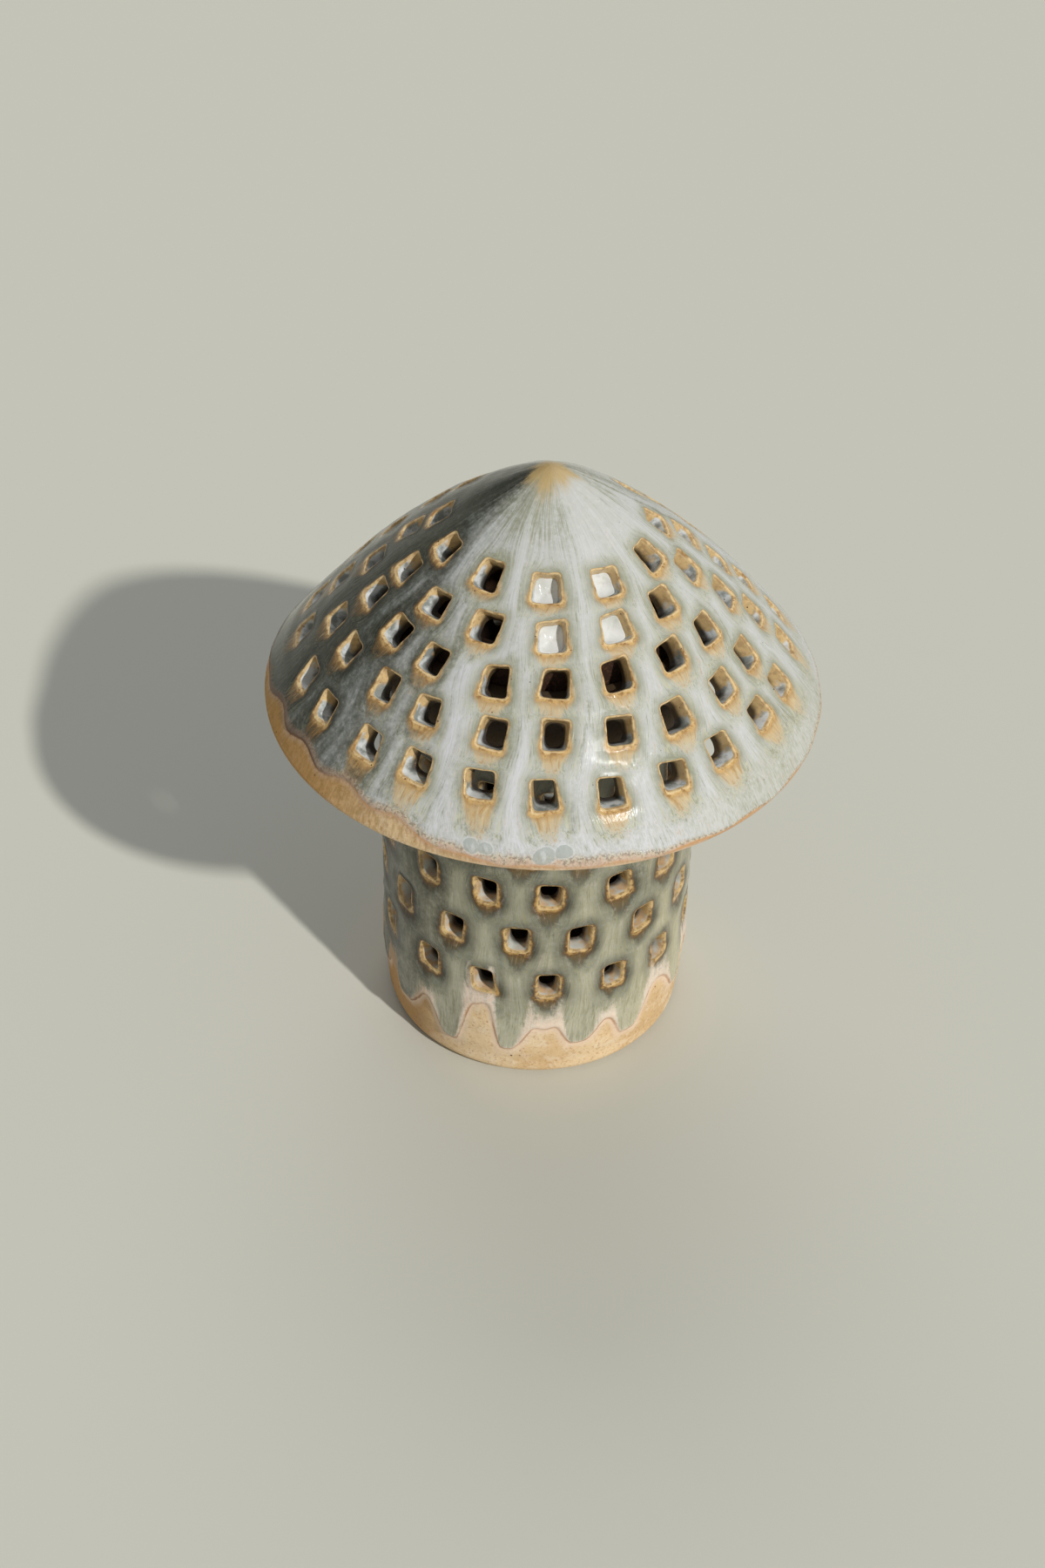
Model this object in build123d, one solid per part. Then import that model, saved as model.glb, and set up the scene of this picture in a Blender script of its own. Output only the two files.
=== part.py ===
from build123d import *
import os
from math import cos, floor, pi, radians, sin, sqrt

# A stoneware flower frog: a pierced, pointed cap that lifts off a pierced, hollow stem.
# Millimetres, +Z up, origin at the middle of the foot's underside.
# Azimuths are in degrees from the front (-Y), growing towards +X.

# Cap
cap_radius = 75.0            # widest point, at the rim
cap_rise = 68.65             # from the widest point of the rim up to the tip
cap_wall = 6.0               # thickness, square to the surface
cone_share = 0.675           # part of the rise that is a straight cone, the rest is its belly
belly_power = 2.54           # how late the belly swells towards the rim
tip_round = 2.5              # softening of the point
lip_drop = 1.4               # height of the rounded lip under the widest point

# Stem
stem_radius = 44.3
stem_wall_thickness = 5.2
stem_height = 138.5          # table to the top of the wall, under the cap
floor_thickness = 7.0
foot_round = 3.5             # rounding of the foot's outer edge
foot_taper = 1.8             # how much narrower the foot is than the stem
foot_taper_height = 22.0

# Seat of the cap on the stem
seat_gap = 0.3               # between the stem's top edge and the inside of the cap
collar_clearance = 0.8       # between the collar and the inside of the stem
collar_thickness = 3.6
collar_reach = 10.0          # how far the collar hangs into the stem

# Holes in the cap
cap_hole = 7.6               # side of the square punch
cap_hole_corner = 0.9
first_ring_radius = 27.8
ring_pitch = 9.05
rim_band = 11.0              # from the outermost ring to the widest point
cap_hole_spacing = 16.45     # between neighbours in one ring
lower_ring_droop = 18.0      # how much flatter than square the outermost ring is punched

# Holes in the stem
stem_hole_width = 6.2
stem_hole_height = 8.8
stem_hole_corner = 1.4
first_row_height = 37.3
row_pitch = 16.8
stem_hole_spacing = 18.55
row_turn = 6.0               # the rows stand this many degrees to either side of the front
plain_neck = 20.0            # unpierced height at the top of the stem

# Hand work
azimuth_wander = 1.1         # degrees
ring_wander = 0.45           # mm
row_wander = 0.5             # mm

# Glaze that has closed a few holes
bridge_thickness = 1.5
bridge_depth = 4.0           # below the outside of the cap
bridged_rings = 2            # the innermost rings
bridged_in_ring = 2          # holes closed in each, counted from the front

# Tools
punch_margin = 4.0           # how far a punch runs past the wall
profile_steps = 14


def cap_drop(r):
    """Height of the tip above the cap's outside at radius r."""
    soft = sqrt(r * r + tip_round * tip_round) - tip_round
    t = soft / (sqrt(cap_radius * cap_radius + tip_round * tip_round) - tip_round)
    return cap_rise * (cone_share * t + (1 - cone_share) * t ** belly_power)


def cap_slope(r):
    """Fall of the cap's outside per millimetre of radius, without the softened tip."""
    swell = (1 - cone_share) * belly_power * (r / cap_radius) ** (belly_power - 1)
    return cap_rise / cap_radius * (cone_share + swell)


def cap_inner_drop(r):
    """Height of the tip above the cap's inside at radius r."""
    return cap_drop(r) + cap_wall * sqrt(1 + cap_slope(r) ** 2)


# The cap sits where its inside meets the top edge of the stem.
tip_height = stem_height + seat_gap + cap_inner_drop(stem_radius)
rim_height = tip_height - cap_rise
lip_height = rim_height - lip_drop


def outside(r):
    return (r, 0, tip_height - cap_drop(r))


def inside(r):
    return (r, 0, tip_height - cap_inner_drop(r))


def inner_rim_radius():
    """Radius at which the cap's inside comes down to the lip."""
    low = 0.0
    high = cap_radius
    for _ in range(50):
        middle = (low + high) / 2
        if inside(middle)[2] > lip_height:
            low = middle
        else:
            high = middle
    return low


def profile(curve, last_radius):
    """Spline along one side of the cap, from the axis to last_radius."""
    radii = [last_radius * (i / profile_steps) ** 1.4 for i in range(profile_steps + 1)]
    return Spline(*[curve(r) for r in radii])


def rounded(centre_radius, centre_height, size):
    """Quarter circle from the outermost to the lowest point of a rounded edge."""
    diagonal = size * sqrt(0.5)
    return ThreePointArc((centre_radius + size, 0, centre_height),
                         (centre_radius + diagonal, 0, centre_height - diagonal),
                         (centre_radius, 0, centre_height - size))


def direction(azimuth):
    """Outward and sideways unit vectors at an azimuth."""
    a = radians(azimuth)
    return Vector(sin(a), -cos(a), 0), Vector(cos(a), sin(a), 0)


def cap_holes():
    """Plane on the outside of the cap for every hole, with its ring and place in the ring."""
    last_radius = cap_radius - rim_band
    rings = 1 + max(0, round((last_radius - first_ring_radius) / ring_pitch))
    planes = []
    for ring in range(rings):
        share = ring / max(1, rings - 1)
        ring_radius = first_ring_radius + share * (last_radius - first_ring_radius)
        count = round(2 * pi * ring_radius / cap_hole_spacing)
        ring_turn = 4.2 * sin(radians(40 * ring))
        for k in range(count):
            azimuth = ring_turn + 360 * k / count + azimuth_wander * sin(9.7 * k + 3.1 * ring)
            r = ring_radius + ring_wander * sin(7.3 * k + 1.7 * ring)
            outward, sideways = direction(azimuth)
            slope = cap_slope(r)
            length = sqrt(1 + slope * slope)
            normal = outward * (slope / length) + Vector(0, 0, 1 / length)
            plane = Plane(origin=outward * r + Vector(0, 0, tip_height - cap_drop(r)),
                          x_dir=sideways, z_dir=normal)
            if ring == rings - 1:
                plane = plane.rotated((lower_ring_droop, 0, 0))
            planes.append((ring, k, plane))
    return planes


def stem_holes():
    """Plane on the outside of the stem for every hole."""
    count = round(2 * pi * stem_radius / stem_hole_spacing)
    rows = 1 + floor((stem_height - plain_neck - stem_hole_height / 2 - first_row_height) / row_pitch)
    planes = []
    for row in range(rows):
        turn = row_turn if row % 2 == 0 else -row_turn
        for k in range(count):
            azimuth = turn + 360 * k / count + azimuth_wander * sin(8.3 * k + 2.9 * row)
            height = first_row_height + row * row_pitch + row_wander * sin(6.1 * k + 1.3 * row)
            outward, sideways = direction(azimuth)
            origin = outward * stem_radius + Vector(0, 0, height)
            planes.append(Plane(origin=origin, x_dir=sideways, z_dir=outward))
    return planes


def punch(width, height, corner, reach):
    """Bar along +Z with rounded corners, reach to either side of its middle."""
    return extrude(RectangleRounded(width, height, corner), amount=reach, both=True)


def make_cap_shell():
    """The thrown cap, with its rings of square holes."""
    outer = profile(outside, cap_radius)
    inner = profile(inside, inner_rim_radius())
    lip = rounded(cap_radius - lip_drop, rim_height, lip_drop)
    edges = [outer, lip, Line(lip @ 1, inner @ 1), inner, Line(inner @ 0, outer @ 0)]
    shell = revolve(make_face(edges), Axis.Z)
    bar = punch(cap_hole, cap_hole, cap_hole_corner, cap_wall + punch_margin)
    return shell - [plane.location * bar for _, _, plane in cap_holes()]


def make_cap_collar():
    """Clay ring luted under the cap, which keeps the cap centred in the stem."""
    outer_radius = stem_radius - stem_wall_thickness - collar_clearance
    inner_radius = outer_radius - collar_thickness
    bottom = stem_height - collar_reach
    blank = Cylinder(outer_radius, cap_rise, align=(Align.CENTER, Align.CENTER, Align.MIN))
    blank -= Cylinder(inner_radius, cap_rise, align=(Align.CENTER, Align.CENTER, Align.MIN))
    roof = profile(inside, inner_rim_radius())
    corner = (inner_rim_radius(), 0, bottom)
    floor_line = Line(corner, (0, 0, bottom))
    hollow = revolve(make_face([roof, Line(roof @ 1, corner), floor_line, Line((0, 0, bottom), roof @ 0)]),
                     Axis.Z)
    return Pos(0, 0, bottom) * blank & hollow


def make_glaze_bridges():
    """Films of glaze that have closed the front holes of the innermost rings."""
    films = []
    for ring, k, plane in cap_holes():
        if ring < bridged_rings and k < bridged_in_ring:
            sunk = plane.offset(-bridge_depth)
            sketch = sunk * RectangleRounded(cap_hole, cap_hole, cap_hole_corner)
            films.append(extrude(sketch, amount=-bridge_thickness))
    return Compound(children=films)


def stem_outside(height):
    """Radius of the stem's outside at a height, drawn in slightly towards the foot."""
    below = max(0.0, 1 - height / foot_taper_height)
    return stem_radius - foot_taper * below * below


def taper(low, high):
    """Edge along the drawn-in outside between two heights."""
    points = [(stem_outside(z), 0, z) for z in (low, (low + high) / 2, high)]
    return ThreePointArc(*points)


def make_stem_wall():
    """The pierced tube of the stem, standing on the floor slab."""
    inner_radius = stem_radius - stem_wall_thickness
    side = taper(floor_thickness, foot_taper_height)
    upright = Line(side @ 1, (stem_radius, 0, stem_height))
    top = Line(upright @ 1, (inner_radius, 0, stem_height))
    bore = Line(top @ 1, (inner_radius, 0, floor_thickness))
    tube = revolve(make_face([side, upright, top, bore, Line(bore @ 1, side @ 0)]), Axis.Z)
    bar = punch(stem_hole_width, stem_hole_height, stem_hole_corner, stem_wall_thickness + punch_margin)
    return tube - [plane.location * bar for plane in stem_holes()]


def make_stem_floor():
    """The slab that closes the stem and stands on the table."""
    foot_radius = stem_outside(foot_round)
    side = taper(foot_round, floor_thickness)
    edge = rounded(foot_radius - foot_round, foot_round, foot_round)
    top = Line(side @ 1, (0, 0, floor_thickness))
    axis = Line(top @ 1, (0, 0, 0))
    return revolve(make_face([edge, side, top, axis, Line(axis @ 1, edge @ 1)]), Axis.Z)


os.makedirs("parts", exist_ok=True)
export_step(make_cap_shell(), "parts/cap_shell.step")
export_step(make_cap_collar(), "parts/cap_collar.step")
export_step(make_glaze_bridges(), "parts/glaze_bridges.step")
export_step(make_stem_wall(), "parts/stem_wall.step")
export_step(make_stem_floor(), "parts/stem_floor.step")
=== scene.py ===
from math import cos, floor, pi, radians, sin

import bpy
import numpy as np
from mathutils import Matrix, Vector


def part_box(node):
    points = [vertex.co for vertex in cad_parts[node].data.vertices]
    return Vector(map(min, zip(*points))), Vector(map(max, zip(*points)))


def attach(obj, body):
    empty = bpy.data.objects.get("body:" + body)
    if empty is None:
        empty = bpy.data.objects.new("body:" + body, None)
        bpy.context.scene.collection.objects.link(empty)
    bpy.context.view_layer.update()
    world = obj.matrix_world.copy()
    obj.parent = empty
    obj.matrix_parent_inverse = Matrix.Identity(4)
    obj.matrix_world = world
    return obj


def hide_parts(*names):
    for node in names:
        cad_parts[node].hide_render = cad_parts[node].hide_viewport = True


# Stoneware flower frog: a pierced cap on a pierced stem, both glazed down to a bare clay edge.
# Lengths in the dictionaries are millimetres, the scene is in metres.
# Azimuth 0 is the front (-Y) and grows towards +X. s is the distance along a profile, downwards.

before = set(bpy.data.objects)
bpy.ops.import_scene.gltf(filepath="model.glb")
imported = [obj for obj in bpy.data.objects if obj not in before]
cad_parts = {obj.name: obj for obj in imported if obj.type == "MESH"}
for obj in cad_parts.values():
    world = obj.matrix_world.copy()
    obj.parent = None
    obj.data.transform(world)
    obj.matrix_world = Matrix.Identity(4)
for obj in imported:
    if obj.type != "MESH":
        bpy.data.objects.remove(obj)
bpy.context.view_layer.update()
mm = 0.001


def cornersOf(node):
    low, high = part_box(node)
    return np.array(low) / mm, np.array(high) / mm


capLow, capHigh = cornersOf("cap_shell")
stemLow, stemHigh = cornersOf("stem_wall")
floorLow, floorHigh = cornersOf("stem_floor")
print("frame loaded, cap", np.round(capHigh - capLow, 1), "stem", np.round(stemHigh - floorLow, 1))


# form work that cap and stem share
def smooth(value, low, high):
    t = np.clip((value - low) / (high - low), 0, 1)
    return t * t * (3 - 2 * t)


def bump(value, centre, width):
    return np.exp(-((value - centre) / width) ** 2)


def wrapped(angle):
    return (angle + pi) % (2 * pi) - pi


def wander(azimuth, along, seed, reach):  # slow unevenness that closes on itself round the axis
    total = 0
    for turn in range(1, 6):
        phase = sin(12.9 * turn + 4.1 * seed) * 9
        total = total + np.cos(turn * azimuth + phase + along * 0.021 * ((turn * seed) % 3 - 1)) / (turn + 1)
    return total * reach


class Path:
    # the line that is turned round the axis; (nr, nz) points out of the clay
    def __init__(self, r, z):
        r = np.asarray(r, float)
        z = np.asarray(z, float)
        keep = np.concatenate([[True], np.hypot(np.diff(r), np.diff(z)) > 1e-6])
        self.r = r[keep]
        self.z = z[keep]
        self.s = np.concatenate([[0], np.cumsum(np.hypot(np.diff(self.r), np.diff(self.z)))])
        tangentR = np.gradient(self.r, self.s)
        tangentZ = np.gradient(self.z, self.s)
        length = np.hypot(tangentR, tangentZ)
        self.nr = -tangentZ / length
        self.nz = tangentR / length
        self.length = self.s[-1]

    def at(self, s):
        return [np.interp(s, self.s, line) for line in (self.r, self.z, self.nr, self.nz)]

    def sAtRadius(self, radius, upTo):
        ahead = self.s <= upTo
        return float(np.interp(radius, self.r[ahead], self.s[ahead]))


def arc(centreR, centreZ, radius, start, end, steps=12):
    angles = np.radians(np.linspace(start, end, steps))
    return centreR + radius * np.cos(angles), centreZ + radius * np.sin(angles)


def ringOf(count, s, first=0.0, depth=0.0):
    azimuth = first + np.arange(count) * 2 * pi / count
    return np.stack([azimuth, np.full(count, s), np.full(count, depth)], 1)


class Skin:
    # faces whose corners are (azimuth, s, depth); equal corners are welded
    def __init__(self, inward=False, poles=()):
        self.faces = []
        self.inward = inward
        self.poles = poles       # values of s on the axis, where a ring is one point

    def add(self, quads):
        self.faces.append(quads[:, ::-1] if self.inward else quads)

    def grid(self, corners):     # corners[row, column], columns to the right and rows downwards
        after = np.roll(corners, -1, axis=1)
        quads = np.stack([corners[:-1], corners[1:], after[1:], after[:-1]], 2)
        self.add(quads.reshape(-1, 4, 3))

    def rows(self, ring, places):  # the same ring at several s
        self.grid(np.array([ring * [1, 0, 1] + [0, s, 0] for s in places]))

    def zip(self, upper, lower):  # joins two closed rings of corners with different counts
        start = int(np.argmin(np.abs(wrapped(lower[:, 0] - upper[0, 0]))))
        lower = np.roll(lower, -start, axis=0)
        i = j = 0
        made = []
        while i < len(upper) or j < len(lower):
            a = upper[i % len(upper)]
            b = lower[j % len(lower)]
            if j >= len(lower) or (i < len(upper) and (i + 1) / len(upper) <= (j + 1) / len(lower)):
                i += 1
                c = upper[i % len(upper)]
            else:
                j += 1
                c = lower[j % len(lower)]
            made.append([a, b, c, c])
        self.add(np.array(made))

    def welded(self):
        corners = np.concatenate(self.faces).reshape(-1, 3).copy()
        for pole in self.poles:
            corners[np.abs(corners[:, 1] - pole) < 1e-6, 0] = 0
        key = np.round(corners % [2 * pi, 1e6, 1e6], 5)
        key[key[:, 0] > 2 * pi - 2e-5, 0] = 0
        unique, index = np.unique(key, axis=0, return_inverse=True)
        return unique, index.reshape(-1, 4)


def outsideOf(outX, outY, corner=0.8):  # distance outside a box with rounded corners
    outX = outX + corner
    outY = outY + corner
    return np.hypot(np.maximum(outX, 0), np.maximum(outY, 0)) + np.minimum(np.maximum(outX, outY), 0) - corner


class Cell:
    # one hole and the oblong of skin round it
    def __init__(self, azimuth, s, span, radius, hole):
        self.azimuth = azimuth
        self.s = s
        self.left, self.right, self.top, self.bottom = span
        self.radius = radius
        self.hole = hole

    def edgeLine(self, perSide):
        # clockwise round the oblong, with each corner's angle as seen from the hole
        side = np.linspace(0, 1, perSide, endpoint=False)
        across = self.right - self.left
        down = self.bottom - self.top
        azimuth = np.concatenate([self.right - across * side, np.full(perSide, self.left),
                                  self.left + across * side, np.full(perSide, self.right)])
        s = np.concatenate([np.full(perSide, self.bottom), self.bottom - down * side,
                            np.full(perSide, self.top), self.top + down * side])
        angle = np.arctan2(self.s - s, (azimuth - self.azimuth) * self.radius)
        return np.stack([azimuth, s, np.zeros(len(s))], 1), angle

    def outline(self, angle, grow, deep):
        # edge of the hole, grow outside it, at a share deep of the way through the wall
        h = self.hole
        power = h["squareness"] + (h["innerSquareness"] - h["squareness"]) * deep
        share = 1 + (h["innerShare"] - 1) * deep ** 1.3
        turned = angle - h["roll"]
        c = np.abs(np.cos(turned)) / (h["width"] / 2 * share + grow)
        d = np.abs(np.sin(turned)) / (h["height"] / 2 * share + grow)
        r = (c ** power + d ** power) ** (-1 / power)
        r = r * (1 + h["uneven"] * (np.sin(3 * angle + 40 * h["taper"]) + 0.7 * np.sin(7 * angle + 90 * h["shear"])))
        p = r * np.cos(angle)
        q = r * np.sin(angle)
        return p * (1 + h["taper"] * q) + h["shear"] * q, q * (1 + h["pinch"] * p) + h["droop"] * deep

    def corners(self, angle, grow, depth, wall):
        p, q = self.outline(angle, grow, depth / wall)
        return np.stack([self.azimuth + p / self.radius, self.s - q, np.full(len(angle), depth)], 1)

    def away(self, azimuth, s):
        # across, up, distance outside the mouth of the hole, and the same with its skirt
        h = self.hole
        across = wrapped(azimuth - self.azimuth) * self.radius
        up = self.s - s
        p = (across - h["shear"] * up) / (1 + h["taper"] * np.clip(up, -5, 5))
        q = up / (1 + h["pinch"] * np.clip(across, -5, 5))
        p, q = p * cos(h["roll"]) + q * sin(h["roll"]), q * cos(h["roll"]) - p * sin(h["roll"])
        outX = np.abs(p) - h["width"] / 2
        outY = np.abs(q) - h["height"] / 2
        below = np.where(q < 0, outY - h["skirt"] * 0.6, outY)
        return p, q, outsideOf(outX, outY), outsideOf(outX - 0.5, below)


def bandRing(form, band, side, depth=0.0):
    return ringOf(band["count"] * form["perSide"], band[side], band["first"], depth)


def pierce(cells, bands, form, outer, inner):
    # lays each cell's skin, lip and hole wall on outer, and the inside face round it on inner
    lip = form["lipSize"]
    wall = form["wall"]
    steps = form["steps"]
    for cell in cells:
        around, angle = cell.edgeLine(form["perSide"])
        mouth = cell.corners(angle, lip, 0, wall)
        rows = [mouth + (around - mouth) * share for share in (1 - np.linspace(0, 1, steps["skin"] + 1)) ** 1.5]
        rows[0] = around
        rows[-1] = mouth
        for turn in np.radians(np.linspace(0, 90, steps["lip"] + 1)[1:]):
            rows.append(cell.corners(angle, lip * (1 - sin(turn)), lip * (1 - cos(turn)), wall))
        for deep in np.linspace(lip, wall, steps["wall"] + 1)[1:]:
            rows.append(cell.corners(angle, 0, deep, wall))
        outer.grid(np.array(rows))
        aroundInside = around + [0, 0, wall]
        inner.grid(np.array([aroundInside, rows[-1] + (aroundInside - rows[-1]) * 0.4, rows[-1]]))
    for above, below in zip(bands, bands[1:]):
        for skin, depth in ((outer, 0.0), (inner, wall)):
            skin.zip(bandRing(form, above, "bottom", depth), bandRing(form, below, "top", depth))


def holeFields(cells, azimuth, s, depth):
    # how the holes shape the skin and turn the glaze that ran past them
    reachOfHole = 26
    starts = {"bend": 0, "skirt": 0, "halo": 0, "relief": 0, "high": 0, "blob": -1, "edge": 20, "lip": 20,
              "column": 20}
    field = {name: np.full(len(azimuth), float(start)) for name, start in starts.items()}
    for cell in cells:
        h = cell.hole
        near = np.abs(wrapped(azimuth - cell.azimuth)) * cell.radius < reachOfHole
        near &= np.abs(s - cell.s) < reachOfHole
        p, q, away, column = cell.away(azimuth[near], s[near])
        halfWidth = h["width"] / 2
        halfHeight = h["height"] / 2
        lean = q / np.sqrt(p * p + q * q + 0.01)
        top, side, bottom = h["lips"]
        lipWide = side + (top - side) * smooth(lean, 0.45, 0.95) + (bottom - side) * smooth(-lean, 0.4, 0.9)
        for name, value in (("edge", away), ("lip", away / lipWide), ("column", column)):
            field[name][near] = np.minimum(field[name][near], value)
        reach = ((halfWidth + halfHeight) / 2) ** 2 * 1.35
        square = np.maximum(p * p + (q - 0.6) ** 2, reach)
        field["bend"][near] -= reach * p / square * np.exp(-(square - reach) / 240)
        fallen = np.maximum(-q - halfHeight + 0.4, 0) / h["skirt"]
        aside = np.abs(p) / ((halfWidth + 1.2) * (1.06 - 0.74 * np.clip(fallen, 0, 1)))
        skirt = np.clip(1.15 - fallen, 0, 1) * (1 - smooth(aside, 0.70, 1.14)) * smooth(-q, -1.0, 2.5)
        beside = np.exp(-(np.maximum(away - side, 0) / h["haloReach"]) ** 1.3)
        beside = beside * (h["haloAbove"] + (1 - h["haloAbove"]) * smooth(-q, -halfHeight, halfHeight * 0.8))
        # painted shade: the halo is stronger on the right of each hole, where its dimple turns from the light
        beside = beside * (0.78 + 0.22 * smooth(p, -halfWidth, halfWidth))
        for name, value in (("skirt", skirt), ("halo", beside)):
            field[name][near] = np.maximum(field[name][near], value)
        field["high"][near] = np.where(away < 1.0, (q + 0.35 * p) / halfHeight, field["high"][near])
        field["relief"][near] -= h["dimple"] * np.exp(-(np.maximum(away, 0) / 3.3) ** 2)
        field["relief"][near] += h["raised"] * bump(away, 0.6, 0.6) * (1 - 0.3 * smooth(-q, 0, 4))
        if h["blob"] > 0.4:      # glaze that gathered in two lobes below a skirt
            for place, size in ((-2.2, 2.8), (2.4, 2.3)):
                aside = p - place * h["blob"] + h["shear"] * 8
                oval = np.hypot(aside, q + halfHeight + h["blobDrop"]) / size / h["blob"]
                field["blob"][near] = np.maximum(field["blob"][near], 1 - oval)
    for name in ("edge", "lip"):
        field[name] = np.where(depth > 0, -depth, np.maximum(field[name], 0))
    return field


def toneAndShadeRound(azimuth):
    # below 0 on the left side, where the glaze is darkened as painted shade; above 0 where it is straw. The dark
    # patch at the back right is the glaze's own tone.
    def side(middle, reach):
        return bump(wrapped(azimuth - radians(middle)), 0, radians(reach))
    turned = -wrapped(azimuth)
    left = smooth(turned, radians(16), radians(82)) * (1 - smooth(turned, radians(102), radians(178)))
    return 0.5 * side(70, 34) + 0.25 * side(-178, 40) - 1.15 * left - 0.4 * side(138, 34)


def flowOf(turned, s, column):  # across and along the run of the glaze, which also rings each hole
    return np.stack([np.cos(turned), np.sin(turned), s + 22 * (1 - np.exp(-np.maximum(column, 0) / 3.2))], 1)


def addObject(name, data):
    made = bpy.data.objects.new(name, data)
    bpy.context.scene.collection.objects.link(made)
    return made


def pieceFrom(name, skin, path, fields, body, material, replaced=()):
    # welds a skin, sets its corners in space and hangs its fields on the mesh
    corners, faces = skin.welded()
    azimuth, s, depth = corners.T
    relief, attributes = fields(azimuth, s, depth)
    r, z, nr, nz = path.at(s)
    r = np.maximum(r + nr * (relief - depth), 0)
    z = z + nz * (relief - depth)
    points = np.stack([r * np.sin(azimuth), -r * np.cos(azimuth), z], 1) * mm
    loops = []
    for face in faces.tolist():
        ring = [corner for i, corner in enumerate(face) if corner != face[i - 1]]
        if len(set(ring)) > 2:
            loops.append(ring)
    mesh = bpy.data.meshes.new(name)
    mesh.from_pydata(points.tolist(), [], loops)
    for label, values in attributes.items():
        values = np.asarray(values, np.float32)
        kind, key = ("FLOAT_VECTOR", "vector") if values.ndim == 2 else ("FLOAT", "value")
        mesh.attributes.new(label, kind, "POINT").data.foreach_set(key, values.ravel())
    mesh.validate()
    mesh.shade_smooth()
    piece = addObject(name, mesh)
    mesh.materials.append(material)
    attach(piece, body)
    if replaced:
        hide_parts(*replaced)
    print("made", name, "with", sum(len(loop) - 2 for loop in loops), "triangles")
    return piece


# finishes
def shown(red, green, blue):  # a colour as a screen shows it, 0 to 255
    values = [c / 255 for c in (red, green, blue)]
    return [c / 12.92 if c < 0.04045 else ((c + 0.055) / 1.055) ** 2.4 for c in values] + [1]


def allShown(value):            # the same for every colour in a look
    if isinstance(value, dict):
        return {key: allShown(part) for key, part in value.items()}
    if isinstance(value, (tuple, list)):
        return shown(*value) if isinstance(value[0], int) else [allShown(part) for part in value]
    return value


class Finish:
    # a Principled material, and short ways to wire what drives it
    def __init__(self, name):
        self.material = bpy.data.materials.new(name)
        self.material.use_nodes = True
        self.tree = self.material.node_tree
        self.shader = self.tree.nodes["Principled BSDF"]
        self.place = self.node("TexCoord").outputs["Object"]

    def node(self, kind, given=(), **settings):  # given: socket and value, in pairs
        made = self.tree.nodes.new("ShaderNode" + kind)
        for key, value in settings.items():
            setattr(made, key, value)
        for socket, value in given:
            self.plug(made.inputs[socket], value)
        return made

    def plug(self, socket, value):
        if isinstance(value, bpy.types.NodeSocket):
            self.tree.links.new(value, socket)
        else:
            socket.default_value = value

    def read(self, label, output="Fac"):
        return self.node("Attribute", attribute_name=label).outputs[output]

    def calc(self, operation, a, b=0.0, c=0.0):
        return self.node("Math", enumerate((a, b, c)), operation=operation).outputs[0]

    def add(self, a, b):
        return self.calc("ADD", a, b)

    def times(self, a, b):
        return self.calc("MULTIPLY", a, b)

    def line(self, value, slope, start):
        return self.calc("MULTIPLY_ADD", value, slope, start)

    def ragged(self, value, *shakes):  # value, shaken by noises: a noise, its reach, the next noise and so on
        for noise, reach in zip(shakes[::2], shakes[1::2]):
            value = self.add(value, self.times(self.calc("SUBTRACT", noise, 0.5), reach))
        return value

    def band(self, value, low, high, start=0.0, end=1.0):  # smooth step between two values
        given = (("Value", value), ("From Min", low), ("From Max", high), ("To Min", start), ("To Max", end))
        return self.node("MapRange", given, interpolation_type="SMOOTHSTEP").outputs["Result"]

    def mix(self, share, first, second):
        given = ((0, share), (6, first), (7, second))
        return self.node("Mix", given, data_type="RGBA", clamp_factor=True).outputs[2]

    def blend(self, share, first, second):
        given = ((0, share), (2, first), (3, second))
        return self.node("Mix", given, data_type="FLOAT", clamp_factor=True).outputs[0]

    def lay(self, share, paint):    # onto the colour so far
        self.colour = self.mix(share, self.colour, paint)

    def over(self, paint, value, low, high, share=1.0):  # paint where value goes from low to high
        self.lay(self.band(value, low, high, 0.0, share), paint)

    def stretched(self, vector, factors):
        return self.node("VectorMath", ((0, vector), (1, factors)), operation="MULTIPLY").outputs[0]

    def noise(self, vector, scale, detail=3.0, roughness=0.55, distortion=0.0):
        given = (("Vector", vector), ("Scale", scale), ("Detail", detail), ("Roughness", roughness),
                 ("Distortion", distortion))
        return self.node("TexNoise", given).outputs[0]

    def specks(self, scale, size, share):  # round specks, one in a share of the cells
        made = self.node("TexVoronoi", (("Vector", self.place), ("Scale", scale)), feature="F1")
        picked = self.node("SeparateColor", ((0, made.outputs["Color"]),))
        chosen = self.band(picked.outputs[0], 1 - share, 1 - share + 0.02)
        radius = self.line(picked.outputs[1], size * 0.7, size * 0.3)
        inside = self.band(made.outputs["Distance"], self.times(radius, 0.6), radius, 1.0, 0.0)
        return self.times(chosen, inside)

    def finish(self, colour, roughness, height, distance, strength):
        relief = self.node("Bump", (("Distance", distance), ("Strength", strength), ("Height", height)))
        for key, value in (("Base Color", colour), ("Roughness", roughness), ("Normal", relief.outputs[0])):
            self.plug(self.shader.inputs[key], value)
        return self.material


def clayParts(f, look, shaded=0.0):  # colour and height of bare, speckled stoneware
    patches = f.noise(f.place, 40.0, 4.0, 0.6)
    small = f.noise(f.place, 260.0, 3.0, 0.6)
    grain = f.noise(f.place, 1100.0, 3.0, 0.7)
    colour = f.mix(f.band(patches, 0.42, 0.66), look["clay"], look["toasted"])
    colour = f.mix(f.band(small, 0.48, 0.66, 0.0, 0.5), colour, look["grog"])
    colour = f.mix(shaded, colour, look["shadeClay"])
    colour = f.mix(f.band(grain, 0.50, 0.68, 0.0, 0.45), colour, look["rust"])
    colour = f.mix(f.times(f.specks(760.0, 0.36, 0.30), 0.60), colour, look["rust"])
    colour = f.mix(f.times(f.specks(420.0, 0.20, 0.28), 0.9), colour, look["iron"])
    return colour, f.add(f.times(grain, 0.35), f.times(small, 0.9))


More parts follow.
